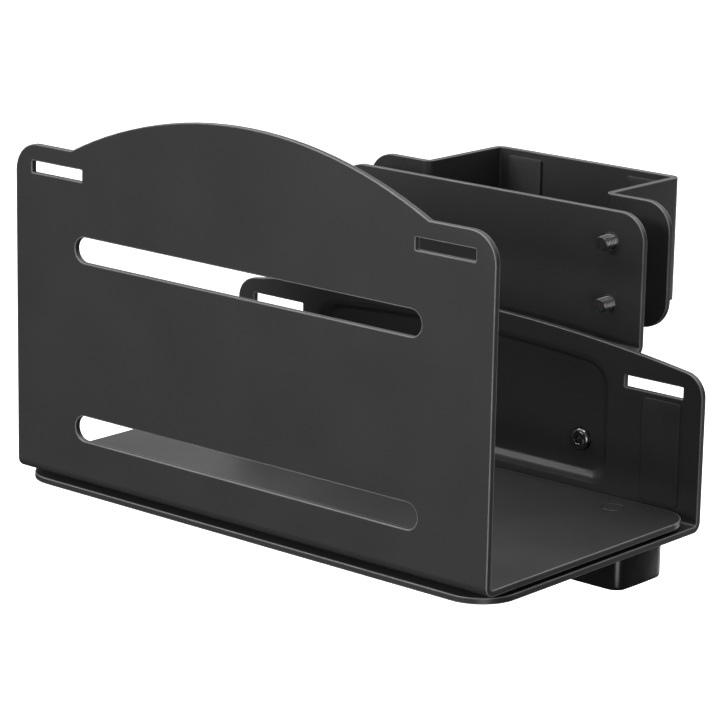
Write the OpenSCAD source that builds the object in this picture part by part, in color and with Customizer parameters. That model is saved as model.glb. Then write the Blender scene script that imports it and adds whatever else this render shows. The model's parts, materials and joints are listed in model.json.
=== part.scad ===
// Computer holder that hangs on a desk leg. Two bent sheet brackets slide into each other and make
// an open tray. A Z shaped plate behind the tray and a hat shaped yoke clamp the leg between them.
// The origin is the middle of the rubber face that the leg's front side bears on.
// X runs left to right, +Y runs from the tray to the leg, +Z is up.

/* [Sheet] */
// Thickness of every bent sheet
sheet_t = 2.5; // [2.2:0.1:2.8]
// Inner radius of every bend
bend_r = 1.5; // [1:0.1:2]

/* [Tray] */
// Width of both tray brackets
tray_w = 240; // [232:1:250]
// Front panel's outer face to the rear panel's inner face, tray closed up
tray_d = 128.7; // [126:0.1:136]
// Gap between the two floor plates
plate_gap = 1.7; // [1.7:0.1:2.5]
// Travel of the front bracket
slide_travel = 80; // [60:1:80]

/* [Front panel] */
// Height of the panel at the top of its arch
front_h = 153.5; // [148:0.1:158]
// Height of the straight shoulders beside the arch
shoulder_h = 132.4; // [131:0.1:134]
// Length of each straight shoulder
shoulder_w = 30.5; // [24:0.1:34]
// Radius of the panel's top corners
front_corner_r = 11.5; // [8:0.1:14]
// Radius of the floor plate's rear corners
floor_corner_r = 14; // [8:0.5:16]
// Length of the two long slots
vent_l = 174.4; // [150:0.1:178]
// Height of the two long slots
vent_h = 10.2; // [9:0.1:12]
// Height of the lower long slot's axis
vent_low_z = 22.9; // [20:0.1:26]
// Height of the upper long slot's axis
vent_high_z = 94.4; // [90:0.1:98]

/* [Strap slots] */
// Length of each strap slot
strap_l = 27.5; // [26:0.1:30]
// Height of each strap slot
strap_h = 4.7; // [4.5:0.1:6]
// Distance of each strap slot from the end of the panel
strap_margin = 9; // [7:0.1:10]
// Height of the front strap slots' axis
strap_front_z = 123.4; // [120:0.1:125]
// Height of the rear strap slots' axis
strap_rear_z = 49.3; // [47:0.1:50]

/* [Rear panel] */
// Height of the panel at the top of its arch
rear_h = 66.7; // [65:0.1:70]
// Radius of the panel's arched top
rear_arch_r = 710; // [650:1:800]
// Radius of the panel's top corners
rear_corner_r = 9.5; // [6:0.1:12]
// Radius of the lower plate's front corners
lower_corner_r = 16; // [10:0.5:18]
// Half width of the pressed recess
recess_half_w = 75.7; // [74:0.1:76]
// Bottom of the recess above the floor plate's underside
recess_low_z = 6.4; // [6:0.1:8]
// Top of the recess above the floor plate's underside
recess_top_z = 58; // [57:0.1:59]
// Depth of the recess
recess_depth = 3.5; // [3:0.1:4]

/* [Leg clamp] */
// Front panel's outer face to the leg plate's front face
leg_plate_y = 145.6; // [145:0.1:150]
// Half width of the leg plate
leg_plate_half_w = 77.8; // [75:0.1:80]
// Top of the leg plate above the floor plate's underside
leg_plate_top = 110.8; // [108:0.1:114]
// Radius of the leg plate's top corners
leg_plate_r = 11.4; // [8:0.1:13]
// Gap between leg plate and yoke flange
clamp_gap = 15.1; // [14:0.1:18]
// Depth of the yoke from flange front to web back
yoke_d = 49.5; // [46:0.1:50]
// Half width of the yoke over its side walls
yoke_half_w = 47.3; // [46:0.1:48]
// Half width of the yoke over its flanges
yoke_flange_half_w = 77.3; // [75:0.1:79]
// Height of the yoke
yoke_h = 51.2; // [47:0.1:53]
// Radius of the yoke flange corners
yoke_r = 11.7; // [8:0.1:13]
// Distance of the clamp bolts from the middle
bolt_x = 62; // [61:0.1:64]
// Height between the two rows of clamp bolts
bolt_pitch = 25; // [22:0.1:26]

/* [Knobs] */
// Width of a knob over its flats
knob_w = 31; // [28:0.5:33]
// Height of a knob
knob_h = 19.7; // [16:0.1:22]
// Angle the knobs are left at
knob_turn = 8; // [0:1:90]
// Distance of the knobs from the middle
knob_x = 89.6; // [86:0.1:92]
// Front panel's outer face to the knob axes
knob_y = 115.7; // [115:0.1:117]

/* [Hidden] */
$fn = 96;
arc_fn = 720;
recess_fn = 64;
eps = 0.2;
clear = 0.3;
far = 400;
leg_pad_t = 2;
leg_pad_w = 80;
leg_pad_h = 40;
yoke_pad_t = 1.5;
yoke_pad_w = 17.2;
yoke_pad_x = 30.8;
yoke_pad_h = 45.8;
tray_pad_t = 1;
tray_pad_w = 17.6;
tray_pad_x = 101.6;
rear_pad_h = 41.5;
front_pad_h = 108;
tray_pad_low = 3.4;
edge_gap = 1.1;
bolt_mid = 86;
yoke_lift = 1.2;

bend_out = bend_r + sheet_t;
front_y = -(leg_plate_y + sheet_t + leg_pad_t);
floor_z = -bolt_mid;
lower_top = -plate_gap;
lower_z = lower_top - sheet_t;
rear_back_y = tray_d + sheet_t;
floor_d = tray_d - edge_gap;
flange_front_y = tray_d + sheet_t + recess_depth;
yoke_y = leg_plate_y + sheet_t + clamp_gap;
yoke_web_y = yoke_y + yoke_d;
yoke_z = bolt_mid + yoke_lift;
half_w = tray_w / 2;
strap_x = half_w - strap_margin - strap_l / 2;

shelf_top = 57.4;
shelf_z = shelf_top - sheet_t;
flange_low = 10.5;
flange_corner_r = 6;
shelf_mid = (flange_front_y + leg_plate_y + sheet_t) / 2;

arch_half_w = half_w - shoulder_w;
arch_rise = front_h - shoulder_h;
front_arch_r = (arch_half_w * arch_half_w + arch_rise * arch_rise) / (2 * arch_rise);

recess_slope = 2.8;
recess_top_r = 11.5;
recess_low_r = 7;
recess_skin = 1;

bolt_r = 3;
bolt_hole_r = 3.3;
bolt_tip = 6.6;
bolt_head_h = 4;
bolt_head_r = 5.77;
washer_r = 6.2;
washer_t = 1.6;
nut_h = 5;
nut_r = 5.77;
thread_fit = 0.05;
chamfer_h = 0.6;

tray_screw_x = 61.3;
tray_screw_z = 21;
tray_screw_r = 2.5;
tray_screw_l = 10;
tray_hole_r = 2.75;
button_r = 4.75;
button_h = 2.75;
button_top_r = 2.6;
socket_r = 1.73;
socket_d = 1.6;
tray_nut_r = 4.62;
tray_nut_h = 4;

stud_head_r = 4.3;
stud_head_t = 1.2;
stud_pocket_r = 4.4;
stud_low = -18;
slot_r = 3.4;
spacer_r = 8;
spacer_t = 1.4;
spacer_hole_r = 3.15;
knob_washer_r = 9;
knob_washer_t = 1.2;
knob_top = lower_z - clear - knob_washer_t;
knob_corner_r = 6.5;
dish_r = 200;
dish_d = 0.2;
insert_r = 4.6;
insert_h = 12;
stud_well_r = 3.4;
stud_well_h = 15;

// ---- shared shapes ----

// Moves a shape from the tray's front lower edge to its place beside the origin.
module placed() {
    translate([0, front_y, floor_z]) children();
}

// Extrudes a side profile drawn in Y and Z across the width, centred on X = 0.
module along_x(w) {
    rotate([90, 0, 90]) linear_extrude(w, center = true) children();
}

// Extrudes an outline drawn in X and Z from y0 to y1.
module along_y(y0, y1) {
    translate([0, y1, 0]) rotate([90, 0, 0]) linear_extrude(y1 - y0) children();
}

// Rectangle whose corner at the origin is rounded.
module soft_corner(a, b, r) {
    translate([r, 0]) square([a - r, b]);
    translate([0, r]) square([a, b - r]);
    translate([r, r]) circle(r);
}

// Section of a bent sheet: one leg a along X, one leg b along Y, outer corner at the origin.
module sheet_corner(a, b) {
    difference() {
        soft_corner(a, b, bend_out);
        translate([sheet_t, sheet_t]) soft_corner(a, b, bend_r);
    }
}

// Plate outline from y = 0 to y = d, with both corners rounded at y = d.
module round_ended(w, d, r) {
    translate([-w / 2, 0]) square([w, d - r]);
    translate([-w / 2 + r, 0]) square([w - 2 * r, d]);
    for (s = [-1, 1])
        translate([s * (w / 2 - r), d - r]) circle(r);
}

// Panel outline standing on z = 0 with an arched top and tangent round corners.
module arched(hw, top, arch_r, corner_r) {
    cx = hw - corner_r;
    cz = top - arch_r + sqrt(pow(arch_r - corner_r, 2) - cx * cx);
    tangent_x = cx * arch_r / (arch_r - corner_r);
    intersection() {
        translate([0, top - arch_r]) circle(arch_r, $fn = arc_fn);
        translate([-tangent_x, 0]) square([2 * tangent_x, top + 1]);
    }
    for (s = [-1, 1])
        translate([s * cx, cz]) circle(corner_r);
    translate([-hw, 0]) square([2 * hw, cz]);
}

// Slot outline with round ends, centred on the origin.
module round_slot(l, r) {
    square([l - 2 * r, 2 * r], center = true);
    for (s = [-1, 1])
        translate([s * (l / 2 - r), 0]) circle(r);
}

// Both strap slots of a panel, as an outline in X and Z.
module strap_slots(z) {
    for (s = [-1, 1])
        translate([s * strap_x, z]) square([strap_l, strap_h], center = true);
}

// ---- front bracket ----

module front_outline() {
    round_ended(tray_w, shoulder_h, front_corner_r);
    intersection() {
        translate([0, front_h - front_arch_r]) circle(front_arch_r, $fn = arc_fn);
        translate([-arch_half_w, shoulder_h - front_corner_r])
            square([2 * arch_half_w, front_h]);
    }
}

module front_bracket() {
    color("#3c3d3f") placed() difference() {
        intersection() {
            along_x(tray_w) sheet_corner(floor_d, front_h);
            along_y(-1, floor_d + 1) front_outline();
            translate([0, 0, -1]) linear_extrude(front_h + 2)
                round_ended(tray_w, floor_d, floor_corner_r);
        }
        along_y(-1, sheet_t + 1) {
            strap_slots(strap_front_z);
            for (z = [vent_low_z, vent_high_z])
                translate([0, z]) round_slot(vent_l, vent_h / 2);
        }
        for (s = [-1, 1])
            translate([s * knob_x, knob_y, 0]) {
                translate([0, 0, -1]) cylinder(r = bolt_r + thread_fit, h = sheet_t + 2);
                translate([0, 0, sheet_t - stud_head_t])
                    cylinder(r = stud_pocket_r, h = stud_head_t + 1);
            }
    }
}

// ---- rear bracket ----

module recess_outline(grow) {
    low = recess_low_z - grow;
    tall = recess_top_z + grow - low;
    wide = recess_half_w + grow;
    translate([0, -tall / 2]) intersection() {
        arched(wide, tall, rear_arch_r, recess_top_r + grow);
        translate([0, tall]) mirror([0, 1])
            round_ended(2 * wide, tall, recess_low_r + grow);
    }
}

// Solid whose outline shrinks by the recess slope between y0 and y1.
module recess_body(y0, y1, grow) {
    half_tall = (recess_top_z - recess_low_z) / 2 + grow;
    mid = (recess_top_z + recess_low_z) / 2;
    wide = recess_half_w + grow;
    slope = recess_slope * (y1 - y0) / recess_depth;
    translate([0, y0, mid]) mirror([0, 1, 0]) rotate([90, 0, 0])
        linear_extrude(y1 - y0, slices = 1, scale = [1 - slope / wide, 1 - slope / half_tall])
            recess_outline(grow, $fn = recess_fn);
}

module rear_bracket() {
    slot_l = slide_travel + 2 * slot_r + 1;
    color("#2f3032") placed() difference() {
        union() {
            intersection() {
                along_x(tray_w)
                    translate([rear_back_y, lower_z]) mirror([1, 0])
                        sheet_corner(rear_back_y, rear_h - lower_z);
                along_y(-1, rear_back_y + 1)
                    translate([0, lower_z])
                        arched(half_w, rear_h - lower_z, rear_arch_r, rear_corner_r);
                translate([0, rear_back_y, lower_z - 1]) mirror([0, 1, 0])
                    linear_extrude(rear_h - lower_z + 2)
                        round_ended(tray_w, rear_back_y, lower_corner_r);
            }
            recess_body(rear_back_y - eps, flange_front_y,
                recess_skin + eps * recess_slope / recess_depth);
        }
        recess_body(tray_d - eps, tray_d + recess_depth, eps * recess_slope / recess_depth);
        along_y(tray_d - 1, rear_back_y + 1) strap_slots(strap_rear_z);
        for (s = [-1, 1]) {
            translate([s * knob_x, knob_y - slide_travel / 2, lower_z - 1])
                linear_extrude(sheet_t + 2) rotate(90) round_slot(slot_l, slot_r);
            translate([s * tray_screw_x, flange_front_y + 1, tray_screw_z])
                rotate([90, 0, 0]) cylinder(r = tray_hole_r, h = sheet_t + 2);
        }
    }
}

// ---- leg plate ----

module leg_plate() {
    wall_h = leg_plate_top - shelf_z;
    flange_h = shelf_top - flange_low;
    overlap = 1;
    rear_leg = leg_plate_y + sheet_t - shelf_mid + overlap;
    front_leg = shelf_mid - flange_front_y + overlap;
    color("#333436") placed() difference() {
        intersection() {
            along_x(2 * leg_plate_half_w) {
                translate([leg_plate_y + sheet_t, shelf_z]) mirror([1, 0])
                    sheet_corner(rear_leg, wall_h);
                translate([flange_front_y, shelf_top]) mirror([0, 1])
                    sheet_corner(front_leg, flange_h);
            }
            along_y(flange_front_y - 1, leg_plate_y + sheet_t + 1) {
                translate([0, shelf_z])
                    round_ended(2 * leg_plate_half_w, wall_h, leg_plate_r);
                translate([0, shelf_top]) mirror([0, 1])
                    round_ended(2 * leg_plate_half_w, flange_h, flange_corner_r);
            }
        }
        clamp_places(leg_plate_y - 1)
            rotate([-90, 0, 0]) cylinder(r = bolt_hole_r, h = sheet_t + 2);
        for (s = [-1, 1])
            translate([s * tray_screw_x, flange_front_y - 1, tray_screw_z])
                rotate([-90, 0, 0]) cylinder(r = tray_hole_r, h = sheet_t + 2);
    }
}

// Puts a shape at the four clamp bolt axes, at depth y.
module clamp_places(y) {
    for (s = [-1, 1], v = [-1, 1])
        translate([s * bolt_x, y, bolt_mid + v * bolt_pitch / 2]) children();
}

// ---- leg yoke ----

module yoke_half_section() {
    wall_mid = yoke_y + yoke_d / 2;
    overlap = 1;
    translate([yoke_half_w, yoke_web_y]) mirror([0, 1]) mirror([1, 0])
        sheet_corner(yoke_half_w + overlap, yoke_web_y - wall_mid + overlap);
    translate([yoke_half_w - sheet_t, yoke_y])
        sheet_corner(yoke_flange_half_w - yoke_half_w + sheet_t, wall_mid - yoke_y + overlap);
}

module leg_yoke() {
    low = yoke_z - yoke_h / 2;
    color("#323335") placed() difference() {
        intersection() {
            translate([0, 0, low]) linear_extrude(yoke_h) {
                yoke_half_section();
                mirror([1, 0]) yoke_half_section();
            }
            along_y(yoke_y - 1, yoke_web_y + 1)
                for (m = [0, 1])
                    translate([0, yoke_z]) mirror([0, m])
                        round_ended(2 * yoke_flange_half_w, yoke_h / 2, yoke_r);
        }
        clamp_places(yoke_y - 1)
            rotate([-90, 0, 0]) cylinder(r = bolt_hole_r, h = sheet_t + 2);
    }
}

// ---- pads ----

// Thin pad with its large face in the X-Z plane, from y to y + t.
module pad(x, y, z0, w, t, h) {
    translate([x - w / 2, y, z0]) cube([w, t, h]);
}

module leg_pad() {
    color("#1b1b1c") placed()
        pad(0, leg_plate_y + sheet_t, bolt_mid - leg_pad_h / 2, leg_pad_w, leg_pad_t, leg_pad_h);
}

module yoke_pad(s) {
    color("#1b1b1c") placed()
        pad(s * yoke_pad_x, yoke_web_y - sheet_t - yoke_pad_t, yoke_z - yoke_pad_h / 2,
            yoke_pad_w, yoke_pad_t, yoke_pad_h);
}

module rear_pad(s) {
    color("#242425") placed()
        pad(s * tray_pad_x, tray_d - tray_pad_t, tray_pad_low, tray_pad_w, tray_pad_t, rear_pad_h);
}

module front_pad(s) {
    color("#242425") placed()
        pad(s * tray_pad_x, sheet_t, tray_pad_low + bend_r, tray_pad_w, tray_pad_t, front_pad_h);
}

// ---- leg clamp fasteners ----

module clamp_bolt() {
    head_y = yoke_y + sheet_t + washer_t;
    tip_y = leg_plate_y - bolt_tip;
    rotate([-90, 0, 0]) {
        translate([0, 0, tip_y + chamfer_h]) cylinder(r = bolt_r, h = head_y - tip_y - chamfer_h);
        translate([0, 0, tip_y]) cylinder(r1 = bolt_r - chamfer_h, r2 = bolt_r, h = chamfer_h);
        translate([0, 0, head_y]) linear_extrude(bolt_head_h) circle(bolt_head_r, $fn = 6);
    }
}

module clamp_bolts() {
    color("#4a4b4d") placed() clamp_places(0) clamp_bolt();
}

module ring(r, hole, h) {
    difference() {
        cylinder(r = r, h = h);
        translate([0, 0, -1]) cylinder(r = hole, h = h + 2);
    }
}

module clamp_washers() {
    color("#5a5b5d") placed()
        clamp_places(yoke_y + sheet_t) rotate([-90, 0, 0]) ring(washer_r, bolt_hole_r, washer_t);
}

module clamp_nuts() {
    color("#4a4b4d") placed() clamp_places(leg_plate_y + sheet_t) rotate([-90, 0, 0])
        difference() {
            linear_extrude(nut_h) circle(nut_r, $fn = 6);
            translate([0, 0, -1]) cylinder(r = bolt_r + thread_fit, h = nut_h + 2);
        }
}

// ---- tray screws ----

// Button head screw along +Z, head above z = 0.
module button_screw() {
    dome_z = (pow(button_top_r, 2) + pow(button_h, 2) - pow(button_r, 2)) / (2 * button_h);
    dome_r = sqrt(pow(button_r, 2) + pow(dome_z, 2));
    difference() {
        union() {
            intersection() {
                cylinder(r = button_r, h = button_h);
                translate([0, 0, dome_z]) sphere(r = dome_r);
            }
            translate([0, 0, -tray_screw_l]) cylinder(r = tray_screw_r, h = tray_screw_l + 0.1);
        }
        translate([0, 0, button_h - socket_d])
            linear_extrude(socket_d + 1) circle(socket_r, $fn = 6);
    }
}

module tray_screws() {
    color("#151516") placed()
        for (s = [-1, 1])
            translate([s * tray_screw_x, tray_d + recess_depth, tray_screw_z])
                rotate([90, 0, 0]) button_screw();
}

module tray_nuts() {
    color("#4a4b4d") placed()
        for (s = [-1, 1])
            translate([s * tray_screw_x, flange_front_y + sheet_t, tray_screw_z])
                rotate([-90, 0, 0]) difference() {
                    linear_extrude(tray_nut_h) circle(tray_nut_r, $fn = 6);
                    translate([0, 0, -1])
                        cylinder(r = tray_screw_r + thread_fit, h = tray_nut_h + 2);
                }
}

// ---- sliding joint and knobs ----

// Puts a shape on the knob axis of side s.
module knob_place(s) {
    placed() translate([s * knob_x, knob_y, 0]) children();
}

module slide_stud(s) {
    color("#5a5b5d") knob_place(s) {
        translate([0, 0, sheet_t - stud_head_t]) cylinder(r = stud_head_r, h = stud_head_t);
        translate([0, 0, stud_low]) cylinder(r = bolt_r, h = sheet_t - stud_low - 0.1);
    }
}

module slide_spacer(s) {
    color("#202021") knob_place(s)
        translate([0, 0, -spacer_t]) ring(spacer_r, spacer_hole_r, spacer_t);
}

module knob_washer(s) {
    color("#5a5b5d") knob_place(s)
        translate([0, 0, knob_top]) ring(knob_washer_r, spacer_hole_r, knob_washer_t);
}

// Square outline with round corners and slightly hollow sides.
module knob_outline() {
    flat_w = knob_w - 2 * knob_corner_r;
    difference() {
        union() {
            square([flat_w, knob_w], center = true);
            square([knob_w, flat_w], center = true);
            for (x = [-1, 1], y = [-1, 1])
                translate([x, y] * flat_w / 2) circle(knob_corner_r);
        }
        for (a = [0, 90, 180, 270])
            rotate(a)
                translate([knob_w / 2 - dish_d + dish_r, 0]) circle(dish_r, $fn = arc_fn);
    }
}

module knob(s) {
    color("#1c1c1e") knob_place(s) translate([0, 0, knob_top]) difference() {
        translate([0, 0, -knob_h])
            linear_extrude(knob_h) rotate(-s * knob_turn) knob_outline();
        translate([0, 0, -insert_h]) cylinder(r = insert_r, h = insert_h + 1);
        translate([0, 0, -stud_well_h]) cylinder(r = stud_well_r, h = stud_well_h + 1);
    }
}

module knob_insert(s) {
    color("#b08d4a") knob_place(s)
        translate([0, 0, knob_top - insert_h]) ring(insert_r, bolt_r + thread_fit, insert_h);
}

// ---- nodes ----

front_bracket();
rear_bracket();
leg_plate();
leg_yoke();
leg_pad();
yoke_pad(-1);  // yoke_pad_left
yoke_pad(1);  // yoke_pad_right
rear_pad(-1);  // rear_pad_left
rear_pad(1);  // rear_pad_right
front_pad(-1);  // front_pad_left
front_pad(1);  // front_pad_right
clamp_bolts();
clamp_washers();
clamp_nuts();
tray_screws();
tray_nuts();
slide_stud(-1);  // slide_stud_left
slide_stud(1);  // slide_stud_right
slide_spacer(-1);  // slide_spacer_left
slide_spacer(1);  // slide_spacer_right
knob_washer(-1);  // knob_washer_left
knob_washer(1);  // knob_washer_right
knob(-1);  // knob_left
knob(1);  // knob_right
knob_insert(-1);  // knob_insert_left
knob_insert(1);  // knob_insert_right
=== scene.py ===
"""Looks of the under-desk computer holder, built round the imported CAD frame."""

import json
import math

import bmesh
import bpy
from mathutils import Matrix, Vector


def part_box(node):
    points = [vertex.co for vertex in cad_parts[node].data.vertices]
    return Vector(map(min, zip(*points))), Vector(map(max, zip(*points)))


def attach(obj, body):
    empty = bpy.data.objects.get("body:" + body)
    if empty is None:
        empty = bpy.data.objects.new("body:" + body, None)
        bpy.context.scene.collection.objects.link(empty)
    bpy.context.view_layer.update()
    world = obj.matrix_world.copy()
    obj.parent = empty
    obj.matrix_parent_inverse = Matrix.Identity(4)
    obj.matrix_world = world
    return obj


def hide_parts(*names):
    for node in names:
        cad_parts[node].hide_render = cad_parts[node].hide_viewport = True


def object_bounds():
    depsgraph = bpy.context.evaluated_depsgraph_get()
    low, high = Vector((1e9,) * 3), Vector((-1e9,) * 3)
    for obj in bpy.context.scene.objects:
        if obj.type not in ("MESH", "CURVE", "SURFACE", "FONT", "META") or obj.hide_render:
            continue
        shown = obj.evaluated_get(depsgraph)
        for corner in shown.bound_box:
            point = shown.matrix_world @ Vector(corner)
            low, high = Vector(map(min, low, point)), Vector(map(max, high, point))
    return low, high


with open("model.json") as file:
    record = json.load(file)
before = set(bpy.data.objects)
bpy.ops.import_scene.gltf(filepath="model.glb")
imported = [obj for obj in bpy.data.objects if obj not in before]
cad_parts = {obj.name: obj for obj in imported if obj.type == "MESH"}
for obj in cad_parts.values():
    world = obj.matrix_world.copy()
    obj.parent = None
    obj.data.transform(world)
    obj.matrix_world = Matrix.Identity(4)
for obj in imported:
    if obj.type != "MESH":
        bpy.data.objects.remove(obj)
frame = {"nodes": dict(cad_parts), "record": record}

nodes = frame["nodes"]
cad_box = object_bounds()
MM = 0.001
PI2 = 2 * math.pi


# ---------------------------------------------------------------- materials


def new_material(name):
    mat = bpy.data.materials.new(name)
    mat.use_nodes = True
    tree = mat.node_tree
    return mat, tree, tree.nodes["Principled BSDF"]


def add_node(tree, kind, **settings):
    node = tree.nodes.new(kind)
    for key, value in settings.items():
        setattr(node, key, value)
    return node


def feed(tree, socket, value):
    """Gives a socket another node's output, a colour or a number."""
    if isinstance(value, bpy.types.NodeSocket):
        tree.links.new(value, socket)
    elif isinstance(value, tuple):
        socket.default_value = (*value, 1)
    else:
        socket.default_value = value


def object_coords(tree):
    return add_node(tree, "ShaderNodeTexCoord").outputs["Object"]


def noise(tree, scale, detail):
    node = add_node(tree, "ShaderNodeTexNoise")
    node.inputs["Scale"].default_value = scale
    node.inputs["Detail"].default_value = detail
    tree.links.new(object_coords(tree), node.inputs["Vector"])
    return node.outputs["Fac"]


def ramp(tree, fac, stops):
    """Stops are (position, grey value or colour) pairs."""
    node = add_node(tree, "ShaderNodeValToRGB")
    elements = node.color_ramp.elements
    while len(elements) < len(stops):
        elements.new(0.5)
    for element, (position, value) in zip(elements, stops):
        colour = value if isinstance(value, tuple) else (value, value, value)
        element.position = position
        element.color = (*colour, 1)
    tree.links.new(fac, node.inputs["Fac"])
    return node.outputs["Color"]


def shades(tree, fac, base, darkest, lightest, start=0.3, stop=0.7):
    """Base colour times darkest where fac is up to start, rising to times lightest from stop."""
    return ramp(tree, fac, [(start, tuple(c * darkest for c in base)),
                            (stop, tuple(min(1, c * lightest) for c in base))])


def mix(tree, fac, a, b, blend="MIX"):
    node = add_node(tree, "ShaderNodeMix", data_type="RGBA", blend_type=blend)
    for index, value in ((0, fac), (6, a), (7, b)):
        feed(tree, node.inputs[index], value)
    return node.outputs[2]


def math_node(tree, op, a, b):
    node = add_node(tree, "ShaderNodeMath", operation=op)
    for index, value in enumerate((a, b)):
        feed(tree, node.inputs[index], value)
    return node.outputs[0]


def bump(tree, layers):
    """Stacks (height, strength, distance) layers into one normal."""
    normal = None
    for height, strength, distance in layers:
        node = add_node(tree, "ShaderNodeBump")
        node.inputs["Strength"].default_value = strength
        node.inputs["Distance"].default_value = distance
        tree.links.new(height, node.inputs["Height"])
        if normal is not None:
            tree.links.new(normal, node.inputs["Normal"])
        normal = node.outputs["Normal"]
    return normal


def edge_mask(tree, reach, low, high):
    """1 along outer edges, 0 on flats: how much of the metal just under the surface is missing."""
    inside = add_node(tree, "ShaderNodeAmbientOcclusion", samples=12, inside=True, only_local=True)
    inside.inputs["Distance"].default_value = reach
    return ramp(tree, inside.outputs["AO"], [(low, 1.0), (high, 0.0)])


def away_from(tree, place, near, far):
    """0 within near of a place or of its mirror image in X, rising to 1 at far."""
    folded = add_node(tree, "ShaderNodeVectorMath", operation="ABSOLUTE")
    tree.links.new(object_coords(tree), folded.inputs[0])
    gap = add_node(tree, "ShaderNodeVectorMath", operation="DISTANCE")
    tree.links.new(folded.outputs["Vector"], gap.inputs[0])
    gap.inputs[1].default_value = [abs(v) for v in place]
    share = add_node(tree, "ShaderNodeMapRange")
    tree.links.new(gap.outputs["Value"], share.inputs["Value"])
    for key, value in (("From Min", near), ("From Max", far), ("To Min", 0.0), ("To Max", 1.0)):
        share.inputs[key].default_value = value
    return share.outputs["Result"]


def powder_coat(name, base, edge, no_highlight_place=None):
    """Fine textured satin powder coat with a painted highlight that lightens its edges, left out near
    the given place.
    """
    mat, tree, bsdf = new_material(name)
    mask = edge_mask(tree, reach=0.5 * MM, low=0.86, high=0.97)
    # Near the given place (the stud head) the painted edge highlight is left out.
    if no_highlight_place is not None:
        mask = math_node(tree, "MULTIPLY", mask, away_from(tree, no_highlight_place, near=6 * MM, far=9 * MM))
    clouds = noise(tree, scale=14, detail=4)
    tone = shades(tree, clouds, base, 0.96, 1.04)
    speckle = noise(tree, scale=2600, detail=2)
    dots = ramp(tree, speckle, [(0.35, 0.82), (0.65, 1.18)])
    tone = mix(tree, 0.6, tone, dots, "MULTIPLY")
    patches = ramp(tree, noise(tree, scale=60, detail=3), [(0.3, 0.7), (0.6, 1.0)])
    # Painted highlight: the edge mask, broken into patches, lightens the edges toward the edge colour,
    # standing in for light caught by the rounded edges.
    painted_edge_highlight = math_node(tree, "MULTIPLY", mask, patches)
    tree.links.new(mix(tree, painted_edge_highlight, tone, edge), bsdf.inputs["Base Color"])
    sheen = ramp(tree, noise(tree, scale=35, detail=5), [(0.3, 0.35), (0.7, 0.41)])
    tree.links.new(sheen, bsdf.inputs["Roughness"])
    peel = noise(tree, scale=900, detail=2)
    grain = noise(tree, scale=3200, detail=2)
    tree.links.new(bump(tree, [(peel, 0.2, 0.05 * MM), (grain, 0.3, 0.025 * MM)]),
                   bsdf.inputs["Normal"])
    bsdf.inputs["Specular IOR Level"].default_value = 0.5
    return mat


def metal(name, base, rough, metallic, edge_highlight_gain):
    """Plated or oxidised metal with fine turning marks, slight tarnish and a painted highlight along
    its edges.
    """
    mat, tree, bsdf = new_material(name)
    tarnish = noise(tree, scale=180, detail=4)
    tone = shades(tree, tarnish, base, 0.75, 1.2)
    # Painted highlight: the edges are lightened toward the base colour times the gain, standing in for
    # light caught by them.
    mask = edge_mask(tree, reach=0.4 * MM, low=0.75, high=0.95)
    edge = tuple(min(1, c * edge_highlight_gain) for c in base)
    tree.links.new(mix(tree, math_node(tree, "MULTIPLY", mask, 0.6), tone, edge),
                   bsdf.inputs["Base Color"])
    bsdf.inputs["Metallic"].default_value = metallic
    smears = noise(tree, scale=700, detail=4)
    tree.links.new(ramp(tree, smears, [(0.3, rough - 0.06), (0.7, rough + 0.1)]),
                   bsdf.inputs["Roughness"])
    marks = noise(tree, scale=2500, detail=3)
    tree.links.new(bump(tree, [(marks, 0.2, 0.02 * MM)]), bsdf.inputs["Normal"])
    return mat


def plastic(name, base, rough, grain):
    """Moulded plastic with a faint mould texture, whose strength is grain."""
    mat, tree, bsdf = new_material(name)
    tone = shades(tree, noise(tree, scale=90, detail=4), base, 0.85, 1.15)
    tree.links.new(tone, bsdf.inputs["Base Color"])
    smears = noise(tree, scale=240, detail=4)
    tree.links.new(ramp(tree, smears, [(0.35, rough - 0.02), (0.7, rough + 0.03)]),
                   bsdf.inputs["Roughness"])
    texture = noise(tree, scale=1800, detail=3)
    tree.links.new(bump(tree, [(texture, grain, 0.02 * MM)]), bsdf.inputs["Normal"])
    return mat


def foam(name, base, cell, rough):
    """Closed-cell foam or rubber: tiny cells and a dusty, uneven tone."""
    mat, tree, bsdf = new_material(name)
    cells = add_node(tree, "ShaderNodeTexVoronoi")
    cells.inputs["Scale"].default_value = cell
    tree.links.new(object_coords(tree), cells.inputs["Vector"])
    dust = noise(tree, scale=45, detail=5)
    tone = shades(tree, dust, base, 0.8, 1.35, stop=0.75)
    pits = ramp(tree, cells.outputs["Distance"], [(0.0, 0.7), (0.5, 1.1)])
    tree.links.new(mix(tree, 0.7, tone, pits, "MULTIPLY"), bsdf.inputs["Base Color"])
    bsdf.inputs["Roughness"].default_value = rough
    grain = noise(tree, scale=4000, detail=2)
    tree.links.new(bump(tree, [(cells.outputs["Distance"], 0.5, 0.06 * MM),
                               (grain, 0.3, 0.03 * MM)]), bsdf.inputs["Normal"])
    return mat


def grey(v):
    """Neutral grey with a trace of blue."""
    return (v, v, v * 1.02)


stud_low, stud_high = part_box("slide_stud_right")
stud_head = ((stud_low.x + stud_high.x) / 2, (stud_low.y + stud_high.y) / 2, stud_high.z)

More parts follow.
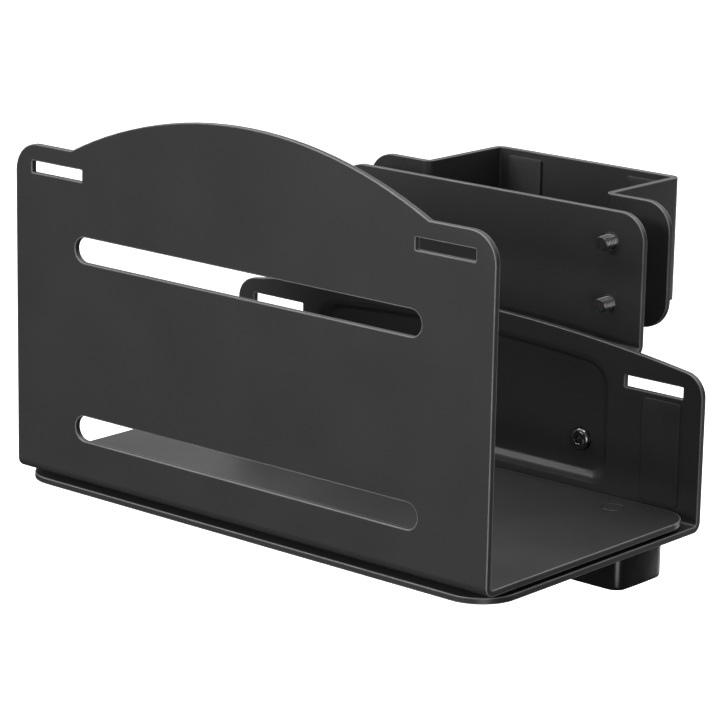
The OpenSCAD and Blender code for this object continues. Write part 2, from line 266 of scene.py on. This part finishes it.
MATERIALS = {
    "powder_coat_front": powder_coat("powder_coat_front", grey(0.027), grey(0.20), stud_head),
    "powder_coat_rear": powder_coat("powder_coat_rear", grey(0.026), grey(0.19)),
    # The clamp coat is a little darker than the other coats: painted shade for the shaded inside of the
    # yoke.
    "powder_coat_clamp": powder_coat("powder_coat_clamp", grey(0.023), grey(0.19)),
    "pad_rubber": foam("pad_rubber", grey(0.011), cell=900, rough=0.6),
    "pad_foam": foam("pad_foam", grey(0.017), cell=1400, rough=0.75),
    "dark_steel": metal("dark_steel", grey(0.12), rough=0.30, metallic=0.85, edge_highlight_gain=1.6),
    "plated_steel": metal("plated_steel", grey(0.45), rough=0.32, metallic=1.0, edge_highlight_gain=1.6),
    "black_steel": metal("black_steel", grey(0.16), rough=0.13, metallic=1.0, edge_highlight_gain=1.0),
    "black_nylon": plastic("black_nylon", grey(0.016), rough=0.5, grain=0.3),
    "knob_plastic": plastic("knob_plastic", grey(0.011), rough=0.22, grain=0.03),
    "insert_brass": metal("insert_brass", (0.62, 0.42, 0.16), rough=0.3, metallic=1.0, edge_highlight_gain=1.3),
}
SLOT_OF = {s["node"]: s["material_slot"] for s in frame["record"]["subparts"]}

# The photo shows the leg plate a little lighter than the yoke, which shares its slot. That difference
# is light and shade, so this lighter copy of the clamp coat is painted light.
PAINTED_LIGHT_COPIES = {"leg_plate": powder_coat("powder_coat_leg_plate_lit", grey(0.035), grey(0.20))}


# ---------------------------------------------------------------- mesh helpers

SHARP_ANGLE = math.radians(35)
HEAD_POINTS = 96
RING_POINTS = 72
THREAD_POINTS = 30
THREAD_RINGS_PER_PITCH = 8
HEX_CHAMFER_SLOPE = math.tan(math.radians(30))


def link(obj):
    bpy.context.scene.collection.objects.link(obj)
    return obj


def finish_mesh(name, verts, faces, slot, body, stands_for):
    """Makes an object from vertices and faces, shades it, and hangs it on its CAD body."""
    mesh = bpy.data.meshes.new(name)
    mesh.from_pydata([tuple(v) for v in verts], [], faces)
    bm = bmesh.new()
    bm.from_mesh(mesh)
    bmesh.ops.remove_doubles(bm, verts=bm.verts, dist=1e-7)
    bmesh.ops.recalc_face_normals(bm, faces=bm.faces)
    bm.to_mesh(mesh)
    bm.free()
    for poly in mesh.polygons:
        poly.use_smooth = True
    mesh.set_sharp_from_angle(angle=SHARP_ANGLE)
    mesh.materials.append(MATERIALS[slot])
    obj = link(bpy.data.objects.new(name, mesh))
    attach(obj, body)
    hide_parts(*stands_for)
    return obj


def rings_to_mesh(rings, capped=True):
    """Joins rings of equally many points into a skin; caps close both ends with a fan."""
    verts, faces = [], []
    n = len(rings[0])
    for ring in rings:
        verts.extend(ring)
    for k in range(len(rings) - 1):
        a, b = k * n, (k + 1) * n
        for i in range(n):
            j = (i + 1) % n
            faces.append((a + i, a + j, b + j, b + i))
    for end in (0, len(rings) - 1) if capped else ():
        verts.append(sum(rings[end], Vector()) / n)
        base = end * n
        for i in range(n):
            faces.append((base + i, base + (i + 1) % n, len(verts) - 1))
    return verts, faces


def joined(parts):
    verts, faces = [], []
    for v, f in parts:
        offset = len(verts)
        verts.extend(v)
        faces.extend(tuple(i + offset for i in face) for face in f)
    return verts, faces


def moved(part, matrix):
    v, f = part
    return [matrix @ Vector(p) for p in v], f


def at_angle(value, a):
    return value(a) if callable(value) else value


def polar_rings(levels, count=HEAD_POINTS):
    """Levels are (radius, z) pairs; each of the two is a number or a function of the angle."""
    rings = []
    for radius, z in levels:
        ring = []
        for i in range(count):
            a = PI2 * i / count
            r = at_angle(radius, a)
            ring.append(Vector((r * math.cos(a), r * math.sin(a), at_angle(z, a))))
        rings.append(ring)
    return rings


def hex_at(across_flats):
    """Radius of a hexagon whose corners are on X, as a function of angle."""
    def radius(a):
        local = (a + math.pi / 6) % (math.pi / 3) - math.pi / 6
        return across_flats / 2 / math.cos(math.pi / 6 - abs(local))
    return radius


def thread_part(r, pitch, depth, z0, z1):
    """External thread from z0 to z1 that runs out to its core at both ends."""
    steps = max(4, int(round((z1 - z0) / pitch * THREAD_RINGS_PER_PITCH)))
    start_length = 0.8 * pitch
    rings = []
    for k in range(steps + 1):
        z = z0 + (z1 - z0) * k / steps
        fade = max(0.0, min(1.0, (z - z0) / start_length, (z1 - z) / start_length))
        ring = []
        for i in range(THREAD_POINTS):
            a = PI2 * i / THREAD_POINTS
            turn = (z / pitch - a / PI2) % 1.0
            wave = 1 - abs(2 * turn - 1)
            groove = max(0.0, min(1.0, 1.35 * wave - 0.15))  # clipped: flat crests and roots
            radius = r - depth * groove - (1 - fade) * depth * (1 - groove)
            ring.append(Vector((radius * math.cos(a), radius * math.sin(a), z)))
        rings.append(ring)
    return rings_to_mesh(rings)


def hex_head(flats, h):
    """Hexagon head from z = 0 to z = h, chamfered and dished on top, with a small disc under it."""
    hexagon = hex_at(flats)
    top_r = flats / 2 * 0.94
    disc_r = flats / 2 * 0.97
    disc_h = 0.25 * MM
    soft = 0.1 * MM
    dish_r = top_r * 0.86
    dish_floor_r = top_r * 0.83
    dish_depth = 0.12 * MM

    def chamfered(a):
        return h - max(0.0, hexagon(a) - top_r) * HEX_CHAMFER_SLOPE

    levels = [(disc_r, 0.0), (disc_r, disc_h), (lambda a: hexagon(a) - soft, disc_h),
              (hexagon, disc_h + soft), (hexagon, chamfered), (top_r, h), (dish_r, h),
              (dish_floor_r, h - dish_depth)]
    return rings_to_mesh(polar_rings(levels))


def hex_nut(flats, bore, h):
    """Hexagon nut with both faces chamfered and a countersunk bore."""
    hexagon = hex_at(flats)
    top_r = flats / 2 * 0.95
    sink = 0.5 * MM

    def drop(a):
        return max(0.0, hexagon(a) - top_r) * HEX_CHAMFER_SLOPE

    levels = [(bore + sink, 0.0), (top_r, 0.0), (hexagon, drop), (hexagon, lambda a: h - drop(a)),
              (top_r, h), (bore + sink, h), (bore, h - sink), (bore, sink), (bore + sink, 0.0)]
    return rings_to_mesh(polar_rings(levels), capped=False)


def ring_part(r, bore, h, soft=0.15 * MM):
    """Plain ring from z = 0 to z = h with chamfers of size soft."""
    levels = [(bore, soft), (bore + soft, 0.0), (r - soft, 0.0), (r, soft), (r, h - soft),
              (r - soft, h), (bore + soft, h), (bore, h - soft), (bore, soft)]
    return rings_to_mesh(polar_rings(levels, RING_POINTS), capped=False)


def along_y_axis(x, y, z, flip=False):
    """Places a part built along +Z so that it runs along +Y, or along -Y when flipped."""
    turn = Matrix.Rotation(math.radians(90 if flip else -90), 4, "X")
    return Matrix.Translation((x, y, z)) @ turn


# ---------------------------------------------------------------- sheet metal

SHEET_NODES = ("front_bracket", "rear_bracket", "leg_plate", "leg_yoke")
PRESSED_NODE = "rear_bracket"


def add_bevel(obj, name, width, segments):
    bevel = obj.modifiers.new(name, "BEVEL")
    bevel.width = width
    bevel.segments = segments
    bevel.use_clamp_overlap = False
    bevel.harden_normals = False
    bevel.loop_slide = False
    bevel.miter_outer = "MITER_ARC"
    return bevel


def pressed_edge_group(fold_deg, spread_deg, inner_weight):
    """Marks edges that fold by about fold_deg for a weighted bevel, hollow ones more lightly."""
    group = bpy.data.node_groups.new("pressed_edges", "GeometryNodeTree")
    for in_out in ("INPUT", "OUTPUT"):
        group.interface.new_socket("Geometry", in_out=in_out, socket_type="NodeSocketGeometry")
    start = add_node(group, "NodeGroupInput")
    end = add_node(group, "NodeGroupOutput")
    angle = add_node(group, "GeometryNodeInputMeshEdgeAngle")
    weights = []
    for side, weight in ((1, 1.0), (-1, inner_weight)):
        near = add_node(group, "FunctionNodeCompare", data_type="FLOAT", operation="EQUAL")
        near.inputs["B"].default_value = side * math.radians(fold_deg)
        near.inputs["Epsilon"].default_value = math.radians(spread_deg)
        group.links.new(angle.outputs["Signed Angle"], near.inputs["A"])
        weights.append(math_node(group, "MULTIPLY", near.outputs["Result"], weight))
    store = add_node(group, "GeometryNodeStoreNamedAttribute", data_type="FLOAT", domain="EDGE")
    store.inputs["Name"].default_value = "bevel_weight_edge"
    group.links.new(start.outputs[0], store.inputs["Geometry"])
    group.links.new(math_node(group, "ADD", *weights), store.inputs["Value"])
    group.links.new(store.outputs["Geometry"], end.inputs[0])
    return group


def soften(obj, pressed):
    """Rounds the cut edges of a CAD sheet part, and the gentler edges of a pressed recess."""
    weld = obj.modifiers.new("weld", "WELD")
    weld.merge_threshold = 0.002 * MM
    merge = obj.modifiers.new("merge_flats", "DECIMATE")
    merge.decimate_type = "DISSOLVE"
    merge.angle_limit = math.radians(0.4)
    if pressed:
        mark = obj.modifiers.new("mark_pressed", "NODES")
        mark.node_group = pressed_edge_group(fold_deg=50, spread_deg=12, inner_weight=0.3)
        add_bevel(obj, "pressed_edges", 1.7 * MM, 5).limit_method = "WEIGHT"
    cut = add_bevel(obj, "cut_edges", 0.27 * MM, 3)
    cut.limit_method = "ANGLE"
    cut.angle_limit = math.radians(65)
    if not pressed:
        # Keeps a dark crease off the front panel. The recess's border would show it as a line.
        obj.modifiers.new("split_flats", "TRIANGULATE")
    flat = obj.modifiers.new("flat_faces", "WEIGHTED_NORMAL")
    flat.mode = "FACE_AREA"
    flat.weight = 60
    flat.keep_sharp = False


for name, obj in nodes.items():
    obj.data.materials.clear()
    obj.data.materials.append(PAINTED_LIGHT_COPIES.get(name) or MATERIALS[SLOT_OF[name]])
for name in SHEET_NODES:
    for poly in nodes[name].data.polygons:
        poly.use_smooth = True
    soften(nodes[name], pressed=name == PRESSED_NODE)


# ---------------------------------------------------------------- clamp bolts, washers, nuts

M6_R, M6_PITCH, M6_GROOVE = 3 * MM, 1 * MM, 0.55 * MM
M6_FLATS = 10 * MM
M6_HEAD_H = 4 * MM
NUT_PLAY = 0.05 * MM
WASHER_PLAY = 0.3 * MM

low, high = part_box("clamp_bolts")
head_y = high.y - M6_HEAD_H
bolt_x = high.x - M6_FLATS / 2 / math.cos(math.pi / 6)
bolt_z = high.z - M6_FLATS / 2
bolt_places = [(s * bolt_x, v * bolt_z) for s in (-1, 1) for v in (-1, 1)]
shank = thread_part(M6_R, M6_PITCH, M6_GROOVE, 0.0, head_y - low.y)
head = hex_head(M6_FLATS, M6_HEAD_H)
parts = []
for x, z in bolt_places:
    parts.append(moved(shank, along_y_axis(x, low.y, z)))
    parts.append(moved(head, along_y_axis(x, head_y, z)))
finish_mesh("clamp_bolts_threaded", *joined(parts), "dark_steel", "yoke_frame", ["clamp_bolts"])

low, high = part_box("clamp_washers")
washer_r = (high.z - low.z - 2 * bolt_z) / 2
washer = ring_part(washer_r, M6_R + WASHER_PLAY, high.y - low.y)
parts = [moved(washer, along_y_axis(x, low.y, z)) for x, z in bolt_places]
finish_mesh("clamp_washers_round", *joined(parts), "plated_steel", "yoke_frame", ["clamp_washers"])

low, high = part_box("clamp_nuts")
nut = hex_nut(M6_FLATS, M6_R + NUT_PLAY, high.y - low.y)
parts = [moved(nut, along_y_axis(x, low.y, z)) for x, z in bolt_places]
finish_mesh("clamp_nuts_hex", *joined(parts), "dark_steel", "rear_frame", ["clamp_nuts"])


# ---------------------------------------------------------------- tray screws and nuts

M5_R, M5_PITCH, M5_GROOVE = 2.5 * MM, 0.8 * MM, 0.42 * MM
M5_FLATS = 8 * MM
M5_HEAD_H = 2.75 * MM


def button_head(r, h, socket_flats, socket_deep):
    """Domed button head from z = 0 to z = h with a hexagon socket and a chamfered lower rim."""
    rim = 0.15 * MM
    wall_h = 0.4 * MM
    levels = [(r - rim, 0.0), (r, rim), (r, wall_h)]
    steps = 10
    flat_r = 0.5 * r
    for k in range(1, steps + 1):
        a = math.pi / 2 * k / steps
        levels.append((flat_r + (r - flat_r) * math.cos(a), wall_h + (h - wall_h) * math.sin(a)))
    socket = hex_at(socket_flats)
    drill_tip = 0.4 * MM
    levels += [(lambda a: socket(a) + rim, h), (socket, h - rim), (socket, h - socket_deep),
               (lambda a: socket(a) * 0.3, h - socket_deep - drill_tip)]
    return rings_to_mesh(polar_rings(levels))


low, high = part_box("tray_screws")
button_r = (high.z - low.z) / 2
screw_x = high.x - button_r
screw_z = (high.z + low.z) / 2
seat_y = low.y + M5_HEAD_H
button = button_head(button_r, M5_HEAD_H, socket_flats=3 * MM, socket_deep=1.6 * MM)
shank = thread_part(M5_R, M5_PITCH, M5_GROOVE, 0.0, high.y - seat_y)
parts = []
for x in (-screw_x, screw_x):
    parts.append(moved(button, along_y_axis(x, seat_y, screw_z, flip=True)))
    parts.append(moved(shank, along_y_axis(x, seat_y, screw_z)))
finish_mesh("tray_screws_button", *joined(parts), "black_steel", "rear_frame", ["tray_screws"])

low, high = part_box("tray_nuts")
nut = hex_nut(M5_FLATS, M5_R + NUT_PLAY, high.y - low.y)
parts = [moved(nut, along_y_axis(x, low.y, screw_z)) for x in (-screw_x, screw_x)]
finish_mesh("tray_nuts_hex", *joined(parts), "dark_steel", "rear_frame", ["tray_nuts"])


# ---------------------------------------------------------------- knobs and slide studs

KNOB_WIDTH = 31 * MM
KNOB_CORNER_R = 6.3 * MM
KNOB_SIDE_R = 170 * MM
KNOB_POINTS = 144
INSERT_R = 4.6 * MM
STUD_PLAY = 0.15 * MM


def knob_outline(width, corner, side_r):
    """Radius of a rounded square whose sides are nearly flat arcs, as a function of angle."""
    half = width / 2
    halvings = 34
    centre = side_r - half
    side_centres = ((centre, 0), (-centre, 0), (0, centre), (0, -centre))

    def inside(x, y):
        qx, qy = max(abs(x) - (half - corner), 0), max(abs(y) - (half - corner), 0)
        if abs(x) > half or abs(y) > half or math.hypot(qx, qy) > corner:
            return False
        return all(math.hypot(x - cx, y - cy) <= side_r for cx, cy in side_centres)

    def radius(a):
        lo, hi = 0.0, width
        for _ in range(halvings):
            mid = (lo + hi) / 2
            if inside(mid * math.cos(a), mid * math.sin(a)):
                lo = mid
            else:
                hi = mid
        return lo

    return radius


def knob_part(height):
    """Square knob that hangs from z = 0, with a blind bore from above and a dished lower face."""
    outline = knob_outline(KNOB_WIDTH, KNOB_CORNER_R, KNOB_SIDE_R)
    reach = {PI2 * i / KNOB_POINTS: outline(PI2 * i / KNOB_POINTS) for i in range(KNOB_POINTS)}

    def inset(depth):
        return lambda a: reach[a] - depth

    top_soft, top_steps = 0.8 * MM, 3
    low_soft, low_steps = 1.6 * MM, 6
    floor_h = 3 * MM
    mouth_h, mouth_flare = 1.2 * MM, 0.4 * MM
    levels = [(INSERT_R, -height + floor_h), (INSERT_R, -mouth_h), (INSERT_R + mouth_flare, 0.0),
              (inset(top_soft), 0.0)]
    for k in range(1, top_steps + 1):
        a = math.pi / 2 * k / top_steps
        levels.append((inset(top_soft * (1 - math.sin(a))), -top_soft * (1 - math.cos(a))))
    for k in range(low_steps + 1):
        a = math.pi / 2 * k / low_steps
        levels.append((inset(low_soft * (1 - math.cos(a))), -height + low_soft * (1 - math.sin(a))))
    levels += [(inset(3.2 * MM), -height), (inset(3.6 * MM), -height + 0.35 * MM),
               (inset(4.0 * MM), -height + 0.4 * MM)]
    return rings_to_mesh(polar_rings(levels, KNOB_POINTS))


def stud_part(low_z, high_z, head_r):
    """Threaded stud with a flat round head whose top is at high_z."""
    head_h, soft = 1.2 * MM, 0.2 * MM
    thread = thread_part(M6_R, M6_PITCH, M6_GROOVE, low_z, high_z - head_h)
    levels = [(head_r, 0.0), (head_r, head_h - soft), (head_r - soft, head_h)]
    head = moved(rings_to_mesh(polar_rings(levels)), Matrix.Translation((0, 0, high_z - head_h)))
    return joined([thread, head])


for side in ("left", "right"):
    body = "knob_assembly_" + side
    low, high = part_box("knob_" + side)
    axis = (low + high) / 2

    def on_axis(part, z):
        return moved(part, Matrix.Translation((axis.x, axis.y, z)))

    knob = knob_part(high.z - low.z)
    finish_mesh("knob_body_" + side, *on_axis(knob, high.z), "knob_plastic", body, ["knob_" + side])

    low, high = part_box("knob_insert_" + side)
    sleeve = ring_part(INSERT_R, M6_R + NUT_PLAY, high.z - low.z, soft=0.2 * MM)
    finish_mesh("knob_insert_sleeve_" + side, *on_axis(sleeve, low.z),
                "insert_brass", body, ["knob_insert_" + side])

    low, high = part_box("knob_washer_" + side)
    washer = ring_part((high.x - low.x) / 2, M6_R + STUD_PLAY, high.z - low.z)
    finish_mesh("knob_washer_ring_" + side, *on_axis(washer, low.z),
                "plated_steel", body, ["knob_washer_" + side])

    low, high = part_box("slide_spacer_" + side)
    spacer = ring_part((high.x - low.x) / 2, M6_R + STUD_PLAY, high.z - low.z, soft=0.2 * MM)
    finish_mesh("slide_spacer_ring_" + side, *on_axis(spacer, low.z),
                "black_nylon", "front_frame", ["slide_spacer_" + side])

    low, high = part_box("slide_stud_" + side)
    stud = stud_part(low.z, high.z, (high.x - low.x) / 2)
    finish_mesh("slide_stud_threaded_" + side, *on_axis(stud, 0.0),
                "powder_coat_front", "front_frame", ["slide_stud_" + side])


# ---------------------------------------------------------------- pads

PAD_SOFT = 0.35 * MM
PADS = {  # the side along Y that is free, the body, and the corner radius
    "leg_pad": (1, "rear_frame", 2.5 * MM),
    "rear_pad_left": (-1, "rear_frame", 1.5 * MM),
    "rear_pad_right": (-1, "rear_frame", 1.5 * MM),
    "front_pad_left": (1, "front_frame", 1.5 * MM),
    "front_pad_right": (1, "front_frame", 1.5 * MM),
    "yoke_pad_left": (-1, "yoke_frame", 1.0 * MM),
    "yoke_pad_right": (-1, "yoke_frame", 1.0 * MM),
}


def pad_part(low, high, face, corner, soft):
    """Thin pad in the X-Z plane with rounded corners, a soft rim and a slightly crowned face."""
    cx, cz = (low.x + high.x) / 2, (low.z + high.z) / 2
    hw, hh = (high.x - low.x) / 2, (high.z - low.z) / 2
    thick = high.y - low.y
    back = low.y if face > 0 else high.y
    corner_steps, rim_steps, crown_steps = 8, 4, 4

    def outline(inset):
        points = []
        r = max(corner - inset, 0.05 * MM)
        for quarter, (sx, sz) in enumerate(((1, 1), (-1, 1), (-1, -1), (1, -1))):
            for k in range(corner_steps + 1):
                a = math.pi / 2 * (quarter + k / corner_steps)
                points.append((sx * (hw - inset - r) + r * math.cos(a),
                               sz * (hh - inset - r) + r * math.sin(a)))
        return points

    def ring(inset, depth):
        return [Vector((cx + x, back + face * depth, cz + z)) for x, z in outline(inset)]

    crown = 0.12 * thick
    rim_y = thick - crown
    crown_reach = (min(hw, hh) - soft) * 0.8
    rings = [ring(0.0, 0.0), ring(0.0, rim_y - soft)]
    for k in range(1, rim_steps + 1):
        a = math.pi / 2 * k / rim_steps
        rings.append(ring(soft * (1 - math.cos(a)), rim_y - soft + soft * math.sin(a)))
    for k in range(1, crown_steps + 1):
        share = k / crown_steps
        rings.append(ring(soft + crown_reach * share, rim_y + crown * (1 - (1 - share) ** 2)))
    return rings_to_mesh(rings)


for name, (face, body, corner) in PADS.items():
    low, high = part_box(name)
    piece = finish_mesh(name + "_moulded", *pad_part(low, high, face, corner, PAD_SOFT),
                        SLOT_OF[name], body, [name])


# ---------------------------------------------------------------- stage, lights, camera

FLOOR_HALF = 12.0
FLOOR_DROP = 0.35
AIM = (0, -0.05, 0)
AREA_LIGHTS = (  # name, place, power, width, height
    ("key", (-0.45, -2.3, 0.65), 48, 0.9, 1.0),
    ("strip_right", (1.25, -1.05, -0.15), 7.5, 0.55, 1.2),
    ("glint", (0.35, -0.35, 1.7), 4, 0.4, 0.4),
    ("low_back", (0.50, 1.8, -0.6), 3.0, 0.9, 0.5),
    ("top_left", (-1.4, -0.2, 1.7), 7, 0.8, 0.8),
    ("back", (0.3, 2.3, 0.9), 13, 1.8, 1.2),
    ("back_left", (-1.2, 1.9, 0.65), 1.8, 1.5, 1.0),
)
CAMERA_PLACE = (0.8034, -1.0188, 0.2850)
CAMERA_YAW, CAMERA_PITCH, CAMERA_ROLL = 0.70852, -0.25189, 0.01928
CAMERA_LENS, CAMERA_SENSOR = 164.04, 36


def floor():
    """White paper below the object that neither lights it nor shows in its reflections."""
    mat, tree, bsdf = new_material("floor_paper")
    tree.links.new(ramp(tree, noise(tree, scale=3, detail=3), [(0.3, 0.93), (0.7, 0.95)]),
                   bsdf.inputs["Base Color"])
    bsdf.inputs["Roughness"].default_value = 0.9
    bsdf.inputs["Specular IOR Level"].default_value = 0.1
    bsdf.inputs["Emission Color"].default_value = (1, 1, 1, 1)
    bsdf.inputs["Emission Strength"].default_value = 0.6
    z = cad_box[0].z - FLOOR_DROP
    mesh = bpy.data.meshes.new("floor")
    corners = [(sx * FLOOR_HALF, sy * FLOOR_HALF, z) for sx, sy in ((-1, -1), (1, -1), (1, 1), (-1, 1))]
    mesh.from_pydata(corners, [], [(0, 1, 2, 3)])
    mesh.materials.append(mat)
    obj = link(bpy.data.objects.new("floor", mesh))
    obj.visible_diffuse = False
    obj.visible_glossy = False


def studio():
    """Grey surroundings that grow lighter from the ground to the zenith."""
    world = bpy.data.worlds.new("studio")
    bpy.context.scene.world = world
    world.use_nodes = True
    tree = world.node_tree
    split = add_node(tree, "ShaderNodeSeparateXYZ")
    tree.links.new(add_node(tree, "ShaderNodeTexCoord").outputs["Generated"], split.inputs[0])
    height = math_node(tree, "MULTIPLY", math_node(tree, "ADD", split.outputs["Z"], 1.0), 0.5)
    tone = ramp(tree, height, [(0.0, 0.02), (0.4, 0.06), (0.52, 0.14), (1.0, 0.45)])
    tree.links.new(tone, tree.nodes["Background"].inputs["Color"])


def aimed_light(data, place, aim):
    obj = link(bpy.data.objects.new(data.name, data))
    obj.location = place
    obj.rotation_euler = (Vector(aim) - Vector(place)).to_track_quat("-Z", "Y").to_euler()
    obj.visible_camera = False


def sky_light(name, place, strength, spread_deg):
    data = bpy.data.lights.new(name, "SUN")
    data.energy = strength
    data.angle = math.radians(spread_deg)
    aimed_light(data, place, (0, 0, 0))


def area_light(name, place, power, width, height):
    data = bpy.data.lights.new(name, "AREA")
    data.energy = power
    data.shape = "RECTANGLE"
    data.size = width
    data.size_y = height
    aimed_light(data, place, AIM)


def camera():
    forward = Vector((-math.sin(CAMERA_YAW) * math.cos(CAMERA_PITCH),
                      math.cos(CAMERA_YAW) * math.cos(CAMERA_PITCH), math.sin(CAMERA_PITCH)))
    right = forward.cross(Vector((0, 0, 1))).normalized()
    up = right.cross(forward)
    c, s = math.cos(CAMERA_ROLL), math.sin(CAMERA_ROLL)
    right, up = right * c + up * s, up * c - right * s
    turn = Matrix((right, up, -forward)).transposed().to_4x4()
    data = bpy.data.cameras.new("camera")
    data.lens = CAMERA_LENS
    data.sensor_width = CAMERA_SENSOR
    data.clip_start = 0.05
    data.clip_end = 100
    obj = link(bpy.data.objects.new("camera", data))
    obj.matrix_world = Matrix.Translation(CAMERA_PLACE) @ turn
    bpy.context.scene.camera = obj


floor()
studio()
sky_light("top", (-0.3, 0.5, 2.0), 2.2, 70)
for light in AREA_LIGHTS:
    area_light(*light)
camera()
bpy.context.scene.view_settings.view_transform = "Standard"
